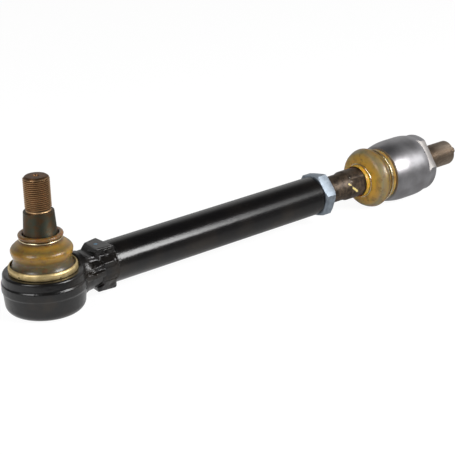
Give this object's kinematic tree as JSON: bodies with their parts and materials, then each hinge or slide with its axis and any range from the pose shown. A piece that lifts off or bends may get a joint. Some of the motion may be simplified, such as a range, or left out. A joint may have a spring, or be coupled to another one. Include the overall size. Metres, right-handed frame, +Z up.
{
  "type": "adjustable tie rod",
  "caption": "Adjustable steering tie rod: a tube with an upright tapered ball stud at one end, and a threaded rod with locknut and axial ball joint at the other.",
  "frame": {"origin": "centre of the outer ball, where the axis of the tapered stud meets the axis of the rod", "axes": "+X along the rod from the outer joint to the axial joint, +Z up the tapered stud"},
  "size_m": [0.4876, 0.0642, 0.1116],
  "materials": {
    "black_paint": "glossy black paint over a forged and drawn steel surface",
    "plate_zinc": "pale zinc",
    "stud_brown": "brown phosphate with worn thread crests",
    "rod_scale": "dark brown forging scale",
    "boot_amber": "translucent amber",
    "yellow_zinc": "yellow zinc",
    "ring_steel": "bright wire",
    "bare_steel": "satin bare steel",
    "nut_zinc": "clear zinc",
    "seat_plastic": "natural acetal",
    "spring_steel": "oiled spring steel"
  },
  "bodies": {
    "socket_and_tube": {"socket_forging": "black_paint", "closing_plate": "plate_zinc", "outer_disc_spring": "spring_steel", "outer_cup_seat": "seat_plastic", "outer_neck_seat": "seat_plastic", "outer_boot_clamp_band": "yellow_zinc", "tube": "black_paint", "tube_weld": "black_paint"},
    "outer_boot_body": {"outer_boot": "boot_amber"},
    "outer_ring_body": {"outer_boot_top_ring": "ring_steel"},
    "tapered_stud": {"outer_ball_stud": "stud_brown"},
    "locknut_body": {"locknut": "nut_zinc"},
    "rod_carrier": {"axial_boot_rod_ring": "ring_steel"},
    "adjusting_rod": {"ball_rod": "rod_scale"},
    "axial_boot_body": {"axial_boot": "boot_amber"},
    "axial_ring_body": {"axial_boot_clamp_ring": "ring_steel"},
    "axial_joint": {"axial_housing": "bare_steel", "end_stud": "stud_brown", "axial_neck_seat": "seat_plastic", "axial_cup_seat": "seat_plastic", "axial_disc_spring": "spring_steel"}
  },
  "joints": [
    {"name": "outer_swing", "type": "hinge", "parent": "socket_and_tube", "child": "outer_boot_body", "pos_m": [0, 0, 0], "axis": [0, 0, 1], "continuous": true},
    {"name": "outer_tilt", "type": "hinge", "parent": "outer_boot_body", "child": "outer_ring_body", "pos_m": [0, 0, 0], "axis": [0, 1, 0], "range_deg": [-22, 22], "deforming": ["outer_boot"]},
    {"name": "outer_spin", "type": "hinge", "parent": "outer_ring_body", "child": "tapered_stud", "pos_m": [0, 0, 0], "axis": [0, 0, 1], "continuous": true},
    {"name": "locknut_turn", "type": "hinge", "parent": "socket_and_tube", "child": "locknut_body", "pos_m": [0.2806, 0, 0], "axis": [1, 0, 0], "range_deg": [0, 270]},
    {"name": "rod_advance", "type": "slide", "parent": "socket_and_tube", "child": "rod_carrier", "axis": [1, 0, 0], "range_m": [0, 0.015]},
    {"name": "rod_turn", "type": "hinge", "parent": "rod_carrier", "child": "adjusting_rod", "pos_m": [0.3721, 0, 0], "axis": [1, 0, 0], "range_deg": [0, 3600]},
    {"name": "axial_swing", "type": "hinge", "parent": "rod_carrier", "child": "axial_boot_body", "pos_m": [0.3721, 0, 0], "axis": [1, 0, 0], "continuous": true},
    {"name": "axial_tilt", "type": "hinge", "parent": "axial_boot_body", "child": "axial_ring_body", "pos_m": [0.3721, 0, 0], "axis": [0, 1, 0], "range_deg": [-20, 20], "deforming": ["axial_boot"]},
    {"name": "axial_spin", "type": "hinge", "parent": "axial_ring_body", "child": "axial_joint", "pos_m": [0.3721, 0, 0], "axis": [1, 0, 0], "continuous": true}
  ],
  "couplings": [
    {"joint": "rod_turn", "follows": "rod_advance", "rad_per_m": 4188.8}
  ]
}
